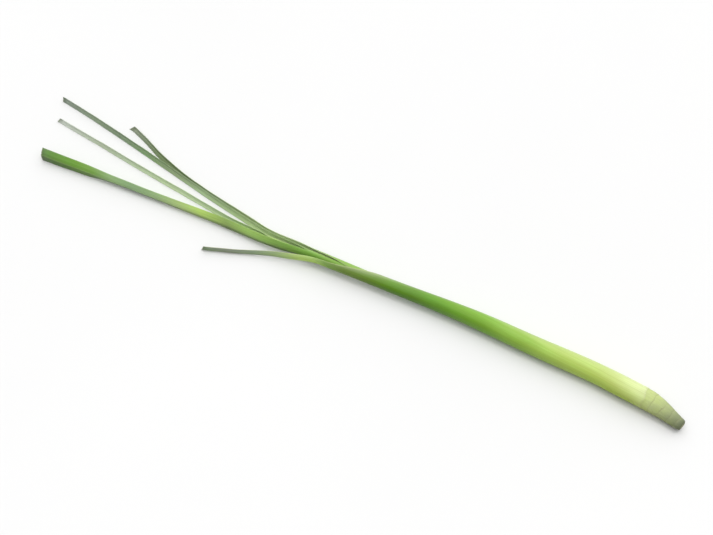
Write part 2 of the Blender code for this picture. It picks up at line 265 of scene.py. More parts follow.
# ================================================================================================
# Mesh making
# ================================================================================================
def closed_sheet(name, outer, inner, values):
    """A closed thin sheet from two grids of points (rows along the leaf, columns across it), with a
    bake map that keeps the leaf's own directions, and a point attribute for each of values."""
    rows, cols = outer.shape[:2]
    n = rows * cols
    verts = np.concatenate([outer.reshape(-1, 3), inner.reshape(-1, 3)]) * MM
    idx = np.arange(n).reshape(rows, cols)
    a, b, c, d = idx[:-1, :-1], idx[1:, :-1], idx[1:, 1:], idx[:-1, 1:]
    faces, uvs = [], []
    run = np.concatenate([[0], np.cumsum(np.linalg.norm(np.diff(outer.mean(1), axis=0), axis=1))])
    U = 0.004 + 0.992 * np.repeat((run / run[-1])[:, None], cols, 1)
    col = np.repeat(np.linspace(0, 1, cols)[None], rows, 0)

    def add(quads, uv):
        faces.append(quads)
        uvs.append(uv)

    def corners(g):
        return g[:-1, :-1], g[1:, :-1], g[1:, 1:], g[:-1, 1:]

    for grid, base, flip in ((idx, 0.01, False), (idx + n, 0.50, True)):
        q = np.stack([x.ravel() for x in corners(grid)], 1)
        V = base + 0.47 * col
        uv = np.stack([np.stack([x.ravel() for x in corners(U)], 1), np.stack([x.ravel() for x in corners(V)], 1)], 2)
        if flip:
            q, uv = q[:, ::-1], uv[:, ::-1]
        add(q, uv)
    for j, v0, flip in ((0, 0.972, True), (cols - 1, 0.978, False)):
        i0, i1 = idx[:-1, j], idx[1:, j]
        q = np.stack([i0, i1, i1 + n, i0 + n], 1)
        u0, u1 = U[:-1, j], U[1:, j]
        uv = np.stack([np.stack([u0, u1, u1, u0], 1), np.stack([u0 * 0 + v0, u0 * 0 + v0, u0 * 0 + v0 + 0.004, u0 * 0 + v0 + 0.004], 1)], 2)
        if not flip:
            q, uv = q[:, ::-1], uv[:, ::-1]
        add(q, uv)
    for i, v0, flip in ((0, 0.984, False), (rows - 1, 0.992, True)):
        i0, i1 = idx[i, :-1], idx[i, 1:]
        q = np.stack([i0, i1, i1 + n, i0 + n], 1)
        u0, u1 = 0.01 + 0.98 * col[i, :-1], 0.01 + 0.98 * col[i, 1:]
        uv = np.stack([np.stack([u0, u1, u1, u0], 1), np.stack([u0 * 0 + v0, u0 * 0 + v0, u0 * 0 + v0 + 0.006, u0 * 0 + v0 + 0.006], 1)], 2)
        if not flip:
            q, uv = q[:, ::-1], uv[:, ::-1]
        add(q, uv)
    faces = np.concatenate(faces)
    uvs = np.concatenate(uvs)
    me = bpy.data.meshes.new(name)
    me.from_pydata(verts.tolist(), [], faces.tolist())
    layer = me.uv_layers.new(name="OFBake")
    layer.uv.foreach_set("vector", uvs.reshape(-1, 2).astype(np.float32).ravel())
    for key, grid in values.items():
        att = me.attributes.new(key, "FLOAT", "POINT")
        if key == "inner":
            data = np.concatenate([np.zeros(n), np.ones(n)])
        else:
            data = np.concatenate([grid.ravel(), grid.ravel()])
        att.data.foreach_set("value", data.astype(np.float32))
    bm = bmesh.new()
    bm.from_mesh(me)
    bmesh.ops.recalc_face_normals(bm, faces=bm.faces)
    bm.to_mesh(me)
    bm.free()
    me.shade_smooth()
    me.set_sharp_from_angle(angle=math.radians(55))
    ob = bpy.data.objects.new(name, me)
    bpy.context.scene.collection.objects.link(ob)
    return ob


def leaf_piece(name, leaf, cols, dense, coarse, dense_from, wall_t, blade_t, rib, keel, cut=0.0, seed=1):
    """The leaf as grown: lapped margins, a torn foot, veins, a keeled midrib, a trimmed end."""
    xs = [leaf.foot_x]
    while xs[-1] > leaf.end_x + 0.4:
        x = xs[-1]
        step = coarse if x > dense_from else dense
        if leaf.foot_x - x < 5 or x - leaf.end_x < 5:
            step = min(step, 0.5)
        xs.append(max(x - step, leaf.end_x))
    xs[-1] = leaf.end_x
    fr = np.linspace(-1, 1, cols)
    fr = np.sign(fr) * (0.86 * np.abs(fr) + 0.14 * np.abs(fr) ** 3)     # a little closer at the midrib
    outer, inner = np.zeros((len(xs), cols, 3)), np.zeros((len(xs), cols, 3))
    U, H, X, D, F = (np.zeros((len(xs), cols)) for _ in range(5))
    for i, x in enumerate(xs):
        width, curl, fold = leaf.shape(x)
        opened = float(ramp(x, leaf.open_x, leaf.collar_x))
        blade = float(ramp(x, leaf.collar_x + 12, leaf.collar_x - 20))
        p, n, s = leaf.mid(x)
        half = width / 2
        wave = np.array([1 + 0.035 * cyclic_noise(x * 0.045, k, 0.0, seed) * (0.25 + 0.75 * blade) for k in (1.3, 5.9)])
        us = fr * half * np.where(fr < 0, wave[0], wave[1])
        us = np.clip(us, -half * 1.015, half * 1.015)
        q, v, a = section(half, curl, fold, us)
        sg = np.sign(us)
        nq, nv = sg * np.sin(a), -np.cos(a)
        # the lap: one margin runs outside the other
        f = us / half
        foot_near = float(ramp(x, leaf.foot_x - 12.0, leaf.foot_x - 1.0))
        lap_h = 0.24 + 0.05 * (level_radius(leaf.level, x) - 4)
        lap = (lap_h * f * (1 - foot_near) + 0.07 * (1 + f) * foot_near) * (1 - opened)
        # thickness: full at the middle, thin at the margins and at the foot
        t = (wall_t * wall(x)) * (1 - blade) + blade_t * blade
        edge = np.clip((1 - np.abs(f)) / (0.16 * (1 - blade) + 0.10 * blade), 0, 1)
        t = t * (0.34 + 0.66 * edge * (2 - edge))
        thin = 0.20 + 0.80 * float(ramp(x, leaf.foot_x, leaf.foot_x - 9.0))
        lap = lap + 0.5 * wall_t * wall(x) * (1 - thin) * (1 - blade)
        t = t * thin
        ribs = rib * blade * (0.5 + 0.5 * np.cos(2 * np.pi * us / 0.95)) * np.clip(edge * 1.5, 0, 1)
        ridge = keel * np.exp(-(us / 0.55) ** 2) * (0.20 * opened + 0.80 * blade)
        lumps = np.array([cyclic_noise(x * 0.014, math.cos(k) * 1.1, math.sin(k) * 1.1, seed) for k in a * sg]) * 0.16 * (1 - blade)
        ripple = np.array([cyclic_noise(x * 0.07, 4.0 + c, 0.0, seed) for c in np.where(fr < 0, 0.0, 3.3)]) * 0.30 * f ** 2 * blade
        fine = np.array([cyclic_noise(x * 0.05, u * 0.9, 2.0, seed) for u in us]) * 0.04
        move = lap + lumps + ripple + fine * (0.4 + 0.6 * edge)
        out = t / 2 + ribs + ridge + move
        ins = -t / 2 + move - ribs * 0.4 + 0.25 * ridge
        # the torn foot and the trimmed end slide along the leaf
        tear = np.array([1.3 * cyclic_noise(u * 0.16, 2.2, 0.0, seed) + 0.30 * cyclic_noise(u * 0.8, 3.2, 0.0, seed)
                         + 0.10 * cyclic_noise(u * 2.6, 4.2, 0.0, seed) for u in us])
        foot = (tear - 0.35 + 1.5 * (np.abs(f) - 0.45)) * float(ramp(x, leaf.foot_x - 6.0, leaf.foot_x))
        tip = float(ramp(x, leaf.end_x + 1.4, leaf.end_x))
        back = cut * us / max(half, 1e-6) * float(ramp(x, leaf.end_x + 24, leaf.end_x))
        rough = min(0.30, 0.035 * width) * np.array([cyclic_noise(u * 1.9, 7.7, 1.0, seed) for u in us]) * tip
        along = np.cross(n, s)                                    # towards the root end
        slide = foot - back - rough
        base = p[None] + s[None] * q[:, None] - n[None] * v[:, None] + along[None] * slide[:, None]
        nn = s[None] * nq[:, None] - n[None] * nv[:, None]
        outer[i], inner[i] = base + nn * out[:, None], base + nn * ins[:, None]
        U[i], H[i], X[i], D[i], F[i] = us, half, x, x - leaf.end_x, leaf.foot_x - x
    for g in (outer, inner):                                      # nothing sinks into the surface
        z = g[..., 2]
        z[z < 0.02] = 0.02
    return closed_sheet(name, outer, inner, {"across": U, "half": H, "along": X, "fromcut": D, "fromfoot": F, "inner": None})


pieces = {}


def own(ob, node):
    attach(ob, "root")
    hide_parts(node)
    pieces[node] = ob
    return ob


own(leaf_piece("sheath_leaf_1", L1, 121, 2.0, 2.6, 70.0, 1.0, 0.42, 0.035, 0.22, 0.8, 1), "leaf_1")
own(leaf_piece("blade_leaf_2", L2, 75, 2.0, 6.0, 80.0, 0.9, 0.40, 0.030, 0.24, -1.6, 2), "leaf_2")
own(leaf_piece("blade_leaf_3", L3, 75, 2.0, 7.0, 70.0, 0.9, 0.42, 0.035, 0.34, -1.1, 3), "leaf_3")
own(leaf_piece("blade_leaf_4", L4, 61, 2.0, 8.0, 60.0, 0.9, 0.40, 0.030, 0.24, 0.4, 4), "leaf_4")
own(leaf_piece("blade_leaf_5", L5, 61, 2.0, 9.0, 50.0, 0.9, 0.38, 0.030, 0.18, -0.9, 5), "leaf_5")
own(leaf_piece("blade_leaf_6", L6, 41, 2.0, 10.0, 40.0, 0.9, 0.36, 0.020, 0.14, -0.8, 6), "leaf_6")


# ---- the stem base ---------------------------------------------------------------------------------
FEET = (L1, L2, L3, L4, L5, L6)
RINGS = ((253.4, 0.05, 1.9), (247.6, 0.10, 0.4), (241.2, 0.07, 2.7), (234.6, 0.12, 4.4))       # (x, height, phase)
SCARS = [(248.2 + 1.1 * math.sin(3.1 * k), 0.35 + 6.2832 * k / 5 + 0.45 * math.sin(5 * k)) for k in range(5)] + \
        [(241.6 + 1.2 * math.sin(2.3 * k), 0.9 + 6.2832 * k / 4 + 0.5 * math.sin(4 * k)) for k in range(4)]


def ring_shift(phase, c, s):
    return 0.9 * (c * math.cos(phase) + s * math.sin(phase)) + 1.1 * cyclic_noise(c * 1.3, s * 1.3, phase, 22) + 0.35 * cyclic_noise(c * 5.0, s * 5.0, phase, 27)


def stem_piece(name, around=144):
    """The woody base: blunt cut face, faint oblique scars of old leaves, fibrous skin."""
    xs = list(np.arange(ROOT_END_X, 228.4, -0.24)) + list(np.arange(228.4, L6.foot_x - 2.0, -0.9))
    ang = np.linspace(0, 2 * np.pi, around, endpoint=False)
    ca, sa = np.cos(ang), np.sin(ang)

    def skin(x):
        r = np.full(around, outer_r(x) - 0.06)
        near = []
        d0 = ROOT_END_X - x
        t = max(0.0, 1 - d0 / 2.6)
        r = r - 1.25 * (1 - math.sqrt(max(0.0, 1 - t * t)))
        for rx, h, ph in RINGS:
            sh = np.array([ring_shift(ph, c, s) for c, s in zip(ca, sa)])
            part = np.array([0.35 + 0.9 * max(0.0, 0.5 + cyclic_noise(c * 1.1, s * 1.1, ph, 25)) for c, s in zip(ca, sa)])
            d = x - rx - sh
            near.append((d, part))
            r = r - 0.9 * h * part / (1 + np.exp(-d / 0.14)) * np.exp(-np.clip(d, 0, None) / 2.6) + 0.6 * h * part * np.exp(-((d + 0.30) / 0.42) ** 2)
        # under the first sheath's thin foot it lies close, then it stays inside the youngest leaf
        under = outer_r(x) - wall(x) * (0.20 + 0.80 * float(ramp(x, L1.foot_x, L1.foot_x - 9.0))) - 0.03
        r = r - 0.16 * float(ramp(x, L1.foot_x + 6.0, L1.foot_x))
        if x < L1.foot_x + 0.9:
            r = np.minimum(r, under + 0.03)
        for leaf in FEET[1:]:
            if x < leaf.foot_x + 0.5:
                r = np.minimum(r, level_radius(leaf.level, x) - wall(x) / 2 - gap_at(x) * 0.35)
        grain = np.array([cyclic_noise(c * 6.5, s * 6.5, x * 0.05, 23) for c, s in zip(ca, sa)])
        lumps = np.array([cyclic_noise(c * 1.3, s * 1.3, x * 0.09, 24) for c, s in zip(ca, sa)])
        r = r + 0.09 * grain + 0.24 * lumps * float(ramp(x, 224.0, 236.0))
        for cx, cang in SCARS:
            da = (ang - cang + np.pi) % (2 * np.pi) - np.pi
            dd = np.sqrt((da * 4.6) ** 2 + (x - cx) ** 2)
            r = r + 0.10 * np.exp(-(dd / 0.40) ** 2) - 0.05 * np.exp(-((dd - 0.75) / 0.3) ** 2)
        line = sum(part * np.exp(-((d - 0.05) / 0.30) ** 2) for d, part in near)
        band = sum(part * np.exp(-np.clip(d, 0, None) / 1.6) * (d > -0.1) for d, part in near)
        return r, np.clip(line, 0, 1.5), np.clip(band, 0, 1.5)

    r_end = skin(ROOT_END_X)[0]
    pts, X, FA, RA, LI, BA = [], [], [], [], [], []
    t, across, up = frame_at(ROOT_END_X, axis_y, axis_z)
    c0 = np.array([ROOT_END_X, axis_y(ROOT_END_X), axis_z(ROOT_END_X)])
    steps = np.linspace(0.0, 1.0, 17)[1:]
    for fr in steps[:-1]:
        rr = fr * r_end
        push = np.array([0.14 * cyclic_noise(q * c * 1.1, q * s * 1.1, 0.3, 21) for q, c, s in zip(rr, ca, sa)])
        push = push - 0.16 * (1 - fr ** 2) + 0.07 * np.cos(fr * 21.0) * (fr > 0.3) * (1 - float(ramp(fr, 0.85, 1.0)))
        pts.append(c0[None] + rr[:, None] * (ca[:, None] * across[None] + sa[:, None] * up[None]) - t[None] * push[:, None])
        X.append(np.full(around, ROOT_END_X)); FA.append(np.ones(around)); RA.append(np.full(around, fr))
        LI.append(np.zeros(around)); BA.append(np.zeros(around))
    first_side = len(pts)
    for x in xs:
        r, line, band = skin(x)
        tt, ac, uu = frame_at(x, axis_y, axis_z)
        c = np.array([x, axis_y(x), axis_z(x)])
        pts.append(c[None] + r[:, None] * (ca[:, None] * ac[None] + sa[:, None] * uu[None]))
        X.append(np.full(around, x)); FA.append(np.zeros(around)); RA.append(np.ones(around))
        LI.append(line); BA.append(band)
    pts = np.array(pts)
    pts[..., 2] = np.maximum(pts[..., 2], 0.02)
    n_rows = len(pts)
    verts = [tuple(p * MM) for p in pts.reshape(-1, 3)]
    top = len(verts)
    verts.append(tuple((c0 + t * 0.14) * MM))
    verts.append(tuple((pts[-1].mean(0) + np.array([-1.0, 0, 0])) * MM))
    run = np.concatenate([[0], np.cumsum(np.linalg.norm(np.diff(pts[first_side:, 0], axis=0), axis=1))])

    def disc(fr, j):
        a = 2 * np.pi * j / around
        return (0.12 + 0.108 * fr * math.cos(a), 0.88 + 0.108 * fr * math.sin(a))

    faces, uv = [], []
    for i in range(n_rows - 1):
        for j in range(around):
            j2 = (j + 1) % around
            faces.append((i * around + j, (i + 1) * around + j, (i + 1) * around + j2, i * around + j2))
            if i + 1 <= first_side:
                r0, r1 = steps[i], steps[i + 1]
                uv += [disc(r0, j), disc(r1, j), disc(r1, j + 1), disc(r0, j + 1)]
            else:
                k = i - first_side
                u0, u1 = 0.01 + 0.98 * run[k] / run[-1], 0.01 + 0.98 * run[k + 1] / run[-1]
                v0, v1 = 0.01 + 0.74 * j / around, 0.01 + 0.74 * (j + 1) / around
                uv += [(u0, v0), (u1, v0), (u1, v1), (u0, v1)]
    for j in range(around):
        j2 = (j + 1) % around
        faces.append((top, j, j2))
        uv += [(0.12, 0.88), disc(steps[0], j), disc(steps[0], j + 1)]
        b = (n_rows - 1) * around
        a0, a1 = 2 * np.pi * j / around, 2 * np.pi * (j + 1) / around
        faces.append((b + j, top + 1, b + j2))
        uv += [(0.30 + 0.03 * math.cos(a0), 0.88 + 0.03 * math.sin(a0)), (0.30, 0.88), (0.30 + 0.03 * math.cos(a1), 0.88 + 0.03 * math.sin(a1))]
    me = bpy.data.meshes.new(name)
    me.from_pydata(verts, [], faces)
    me.uv_layers.new(name="OFBake").uv.foreach_set("vector", np.array(uv, np.float32).ravel())
    ends = [ROOT_END_X, float(X[-1][0])]
    for key, data in (("along", np.concatenate(X + [ends])), ("face", np.concatenate(FA + [[1.0, 0.0]])),
                      ("radius", np.concatenate(RA + [[0.0, 0.0]])),
                      ("scar", np.concatenate(LI + [[0.0, 0.0]])), ("band", np.concatenate(BA + [[0.0, 0.0]])),
                      ("ac", np.concatenate([ca] * n_rows + [[0.0, 0.0]])), ("as", np.concatenate([sa] * n_rows + [[0.0, 0.0]]))):
        me.attributes.new(key, "FLOAT", "POINT").data.foreach_set("value", np.asarray(data, np.float32))
    bm = bmesh.new()
    bm.from_mesh(me)
    bmesh.ops.recalc_face_normals(bm, faces=bm.faces)
    bm.to_mesh(me)
    bm.free()
    me.shade_smooth()
    me.set_sharp_from_angle(angle=math.radians(50))
    ob = bpy.data.objects.new(name, me)
    bpy.context.scene.collection.objects.link(ob)
    return ob


own(stem_piece("cut_stem_base"), "stem_base")


# ================================================================================================
# Materials
# ================================================================================================
def lin(r, g, b):
    out = []
    for c in (r, g, b):
        c /= 255.0
        out.append(c / 12.92 if c <= 0.04045 else ((c + 0.055) / 1.055) ** 2.4)
    return (*out, 1.0)


class Nodes:
    """Short names for building a node tree."""

    def __init__(self, name, roughness=0.45, specular=0.45, sheen=0.0, coat=0.0, subsurface=0.0):
        self.mat = bpy.data.materials.new(name)
        self.mat.use_nodes = True
        self.nt = self.mat.node_tree
        self.bsdf = self.nt.nodes["Principled BSDF"]
        self.bsdf.inputs["Roughness"].default_value = roughness
        self.bsdf.inputs["Specular IOR Level"].default_value = specular
        self.bsdf.inputs["Sheen Weight"].default_value = sheen
        self.bsdf.inputs["Sheen Roughness"].default_value = 0.5
        self.bsdf.inputs["Coat Weight"].default_value = coat
        self.bsdf.inputs["Coat Roughness"].default_value = 0.35
        self.bsdf.inputs["Subsurface Weight"].default_value = subsurface
        self.bsdf.inputs["Subsurface Radius"].default_value = (1.0, 1.2, 0.4)
        self.bsdf.inputs["Subsurface Scale"].default_value = 0.0012

    def put(self, socket, value):
        if isinstance(value, bpy.types.NodeSocket):
            self.nt.links.new(value, socket)
        elif value is not None:
            socket.default_value = value

    def attr(self, name):
        n = self.nt.nodes.new("ShaderNodeAttribute")
        n.attribute_name = name
        return n.outputs["Fac"]

    def math(self, op, a, b=None, c=None, clamp=False):
        n = self.nt.nodes.new("ShaderNodeMath")
        n.operation = op
        n.use_clamp = clamp
        for s, v in zip(n.inputs, (a, b, c)):
            self.put(s, v)
        return n.outputs[0]

    def span(self, value, a, b, c=0.0, d=1.0, smooth=True):
        n = self.nt.nodes.new("ShaderNodeMapRange")
        n.interpolation_type = "SMOOTHSTEP" if smooth else "LINEAR"
        self.put(n.inputs["Value"], value)
        for key, v in zip(("From Min", "From Max", "To Min", "To Max"), (a, b, c, d)):
            self.put(n.inputs[key], v)
        return n.outputs["Result"]

    def xyz(self, x, y, z=0.0):
        n = self.nt.nodes.new("ShaderNodeCombineXYZ")
        for s, v in zip(n.inputs, (x, y, z)):
            self.put(s, v)
        return n.outputs[0]

    def noise(self, vector, scale, detail=3.0, rough=0.55, seed=0.0):
        n = self.nt.nodes.new("ShaderNodeTexNoise")
        n.noise_dimensions = "4D"
        self.put(n.inputs["Vector"], vector)
        self.put(n.inputs["W"], seed)
        self.put(n.inputs["Scale"], scale)
        self.put(n.inputs["Detail"], detail)
        self.put(n.inputs["Roughness"], rough)
        return n.outputs["Fac"]

    def ramp(self, value, stops):
        n = self.nt.nodes.new("ShaderNodeValToRGB")
        self.put(n.inputs["Fac"], value)
        els = n.color_ramp.elements
        while len(els) > 1:
            els.remove(els[-1])
        for i, (pos, colour) in enumerate(stops):
            e = els[0] if i == 0 else els.new(pos)
            e.position = pos
            e.color = colour
        return n.outputs["Color"]

    def mix(self, fac, a, b, mode="MIX"):
        n = self.nt.nodes.new("ShaderNodeMix")
        n.data_type = "RGBA"
        n.blend_type = mode
        n.clamp_result = False
        self.put(n.inputs[0], fac)
        self.put(n.inputs[6], a)
        self.put(n.inputs[7], b)
        return n.outputs[2]

    def hsv(self, colour, hue=0.5, sat=1.0, value=1.0):
        n = self.nt.nodes.new("ShaderNodeHueSaturation")
        self.put(n.inputs["Hue"], hue)
        self.put(n.inputs["Saturation"], sat)
        self.put(n.inputs["Value"], value)
        self.put(n.inputs["Color"], colour)
        return n.outputs[0]

    def bump(self, height, distance, strength=1.0, before=None):
        n = self.nt.nodes.new("ShaderNodeBump")
        n.inputs["Strength"].default_value = strength
        n.inputs["Distance"].default_value = distance
        self.put(n.inputs["Height"], height)
        self.put(n.inputs["Normal"], before)
        return n.outputs[0]

    def finish(self, colour, roughness=None, normal=None):
        self.put(self.bsdf.inputs["Base Color"], colour)
        self.put(self.bsdf.inputs["Roughness"], roughness)
        self.put(self.bsdf.inputs["Normal"], normal)
        return self.mat


def leaf_material(name, stops, inner_stops, margin, seed, roughness=0.46, streak=0.10, midrib=lin(176, 196, 122),
                  midrib_in=0.35, tip=lin(128, 134, 104), side=0.0, old=0.0, painted_half_shade=0.0):
    """stops: (x in mm, colour) along the leaf's outside; inner_stops the same for its inside.
    side: how much greener the sheath is near its midrib than at its pale margins, partly its own colour and partly
    painted shade on the side near the table and painted light on the upper side; it also turns on the painted light and
    shade around the sheath near its foot.
    halves: painted light and shade, how much darker one half of the blade is drawn than the other."""
    m = Nodes(name, roughness=roughness, specular=0.32, sheen=0.04, subsurface=0.0)
    along, across, half = m.attr("along"), m.attr("across"), m.attr("half")
    inner, cut, foot = m.attr("inner"), m.attr("fromcut"), m.attr("fromfoot")
    place = m.span(along, 262.0, -262.0, smooth=False)
    # a slow drift, so that bands of colour don't lie square across the leaf
    drift = m.noise(m.xyz(m.math("MULTIPLY", along, 0.012), m.math("MULTIPLY", across, 0.16), 0.0), 1.0, 2.0, 0.5, seed)
    place2 = m.math("ADD", place, m.math("MULTIPLY", m.math("SUBTRACT", drift, 0.5), 0.05))

    def at(x):
        return (262.0 - x) / 524.0
    out_c = m.ramp(place2, [(at(x), c) for x, c in stops])
    in_c = m.ramp(place2, [(at(x), c) for x, c in inner_stops])
    far_f = m.math("DIVIDE", m.math("ABSOLUTE", across), half)
    if side:
        # partly the sheath's own colour, partly painted light and shade: deeper green near the midrib on the side near
        # the table, paler margins on the upper side
        sheath_part = m.math("MULTIPLY", m.span(along, -20.0, 40.0), side)
        deep_green_and_shade = m.math("MULTIPLY", m.math("SUBTRACT", 1.0, m.span(far_f, 0.02, 0.58)), sheath_part)
        out_c = m.mix(deep_green_and_shade, out_c, m.mix(1.0, out_c, lin(206, 214, 168), "MULTIPLY"))
        pale = m.math("MULTIPLY", m.span(far_f, 0.50, 1.0), sheath_part)
        out_c = m.mix(m.math("MULTIPLY", pale, 0.42), out_c, lin(206, 214, 172))
    col = m.mix(inner, out_c, in_c)
    # painted light and shade: one half of the blade is drawn darker and the other a little lighter, fading in along the
    # blade past the collar
    if painted_half_shade:
        painted_half_gain = m.span(m.math("DIVIDE", across, half), -0.50, 0.55, 1.0 - painted_half_shade, 1.0 + 0.4 * painted_half_shade)
        painted_half_gain = m.math("ADD", 1.0, m.math("MULTIPLY", m.math("SUBTRACT", painted_half_gain, 1.0), m.span(along, 0.0, -60.0)))
        col = m.hsv(col, 0.5, 1.0, painted_half_gain)
    if side:
        # painted light and shade around the sheath near its foot and from the middle to the collar: lighter and less
        # saturated towards the upper margin, darker and more saturated on the other side
        painted_round_shade = m.math("SINE", m.math("SUBTRACT", m.math("MULTIPLY", m.math("DIVIDE", across, half), math.pi), 1.0))
        near_foot = m.math("ADD", m.span(along, 192.0, 222.0), m.math("MULTIPLY", m.span(along, 84.0, 40.0), 0.85))
        col = m.hsv(col, 0.5, m.math("SUBTRACT", 1.0, m.math("MULTIPLY", m.math("MULTIPLY", painted_round_shade, near_foot), 0.12)),
                    m.math("ADD", 1.0, m.math("MULTIPLY", m.math("MULTIPLY", painted_round_shade, near_foot), 0.13)))
        # painted shade: the side turned to the table is darker and more saturated just above the foot
        low = m.math("SINE", m.math("SUBTRACT", m.math("MULTIPLY", m.math("DIVIDE", across, half), math.pi), 1.7))
        painted_low_shade = m.math("MULTIPLY", m.math("MINIMUM", low, 0.0), m.span(along, 160.0, 228.0))
        col = m.hsv(col, 0.5, m.math("SUBTRACT", 1.0, m.math("MULTIPLY", painted_low_shade, 0.15)),
                    m.math("ADD", 1.0, m.math("MULTIPLY", painted_low_shade, 0.16)))
    # parallel veins: broad streaks, then fine lines
    broad = m.noise(m.xyz(m.math("MULTIPLY", along, 0.010), m.math("MULTIPLY", across, 0.75), 0.0), 1.0, 3.0, 0.6, seed + 1.3)
    fine = m.noise(m.xyz(m.math("MULTIPLY", along, 0.030), m.math("MULTIPLY", across, 3.4), 0.0), 1.0, 3.0, 0.65, seed + 2.9)
    vein = m.math("POWER", m.math("ABSOLUTE", m.math("SINE", m.math("MULTIPLY", across, math.pi / 1.15))), 0.6)
    lighten = m.math("ADD", m.math("MULTIPLY", m.math("SUBTRACT", broad, 0.5), streak * 3.2),
                     m.math("MULTIPLY", m.math("SUBTRACT", fine, 0.5), streak * 2.6))
    lighten = m.math("ADD", lighten, m.math("MULTIPLY", m.math("SUBTRACT", 0.75, vein), streak * 0.65))
    patch = m.noise(m.xyz(m.math("MULTIPLY", along, 0.05), m.math("MULTIPLY", across, 0.22), 3.0), 1.0, 3.0, 0.5, seed + 4.1)
    value = m.math("ADD", m.math("ADD", 1.0, lighten), m.math("MULTIPLY", m.math("SUBTRACT", patch, 0.5), 0.30))
    col = m.hsv(col, m.math("ADD", 0.5, m.math("MULTIPLY", m.math("SUBTRACT", patch, 0.5), 0.030)), m.math("SUBTRACT", 1.08, m.math("MULTIPLY", broad, 0.16)), value)
    # midrib: a soft paler line, clearer on the inside
    rib = m.math("SUBTRACT", 1.0, m.span(m.math("ABSOLUTE", across), 0.10, 0.62))
    rib = m.math("MULTIPLY", rib, m.span(along, 40.0, -40.0))
    rib = m.math("MULTIPLY", rib, m.math("ADD", 0.16, m.math("MULTIPLY", inner, midrib_in - 0.16)))
    col = m.mix(rib, col, midrib)
    # margin: dry and pale on the sheath, narrow and duller on the blade
    far = m.math("SUBTRACT", half, m.math("ABSOLUTE", across))
    sheath = m.span(along, -30.0, 20.0)
    reach = m.math("ADD", 0.20, m.math("MULTIPLY", sheath, 0.80))
    rim = m.math("SUBTRACT", 1.0, m.math("DIVIDE", far, reach, clamp=True))
    rim = m.math("MULTIPLY", rim, m.math("ADD", 0.35, m.math("MULTIPLY", fine, 0.5)), clamp=True)
    col = m.mix(rim, col, margin)
    # freckles: a few small dry flecks
    fleck = m.noise(m.xyz(m.math("MULTIPLY", along, 0.42), m.math("MULTIPLY", across, 1.3), 8.0), 1.0, 2.0, 0.5, seed + 6.0)
    fleck = m.span(fleck, 0.735, 0.80)
    col = m.mix(m.math("MULTIPLY", fleck, 0.35 + old), col, lin(124, 112, 60))
    # the foot of the sheath: greyer, then a dry papery edge
    ragged = m.math("ADD", foot, m.math("MULTIPLY", m.math("SUBTRACT", fine, 0.5), 5.0))
    grey = m.math("SUBTRACT", 1.0, m.span(ragged, 0.5, 11.0))
    col = m.mix(m.math("MULTIPLY", grey, 0.22), col, lin(196, 206, 146))
    papery = m.math("SUBTRACT", 1.0, m.span(ragged, -0.6, 1.5))
    col = m.mix(m.math("MULTIPLY", papery, 0.35), col, lin(168, 166, 120))
    # the trimmed end: bruised, then dry
    jag = m.math("MULTIPLY", m.math("SUBTRACT", fine, 0.5), 2.4)
    dark = m.math("SUBTRACT", 1.0, m.span(m.math("ADD", cut, jag), 0.4, 4.5))
    col = m.mix(m.math("MULTIPLY", dark, 0.45), col, lin(74, 92, 52))
    dry = m.math("SUBTRACT", 1.0, m.span(m.math("ADD", cut, jag), 0.0, 1.0))
    col = m.mix(m.math("MULTIPLY", dry, 0.7), col, tip)
    rough = m.math("ADD", roughness - 0.07, m.math("MULTIPLY", patch, 0.16))
    rough = m.math("ADD", rough, m.math("MULTIPLY", rim, 0.2))
    grain = m.math("ADD", m.math("MULTIPLY", fine, 0.7), m.math("MULTIPLY", broad, 0.6))
    n1 = m.bump(grain, 0.00028, 0.7)
    return m.finish(col, rough, n1)


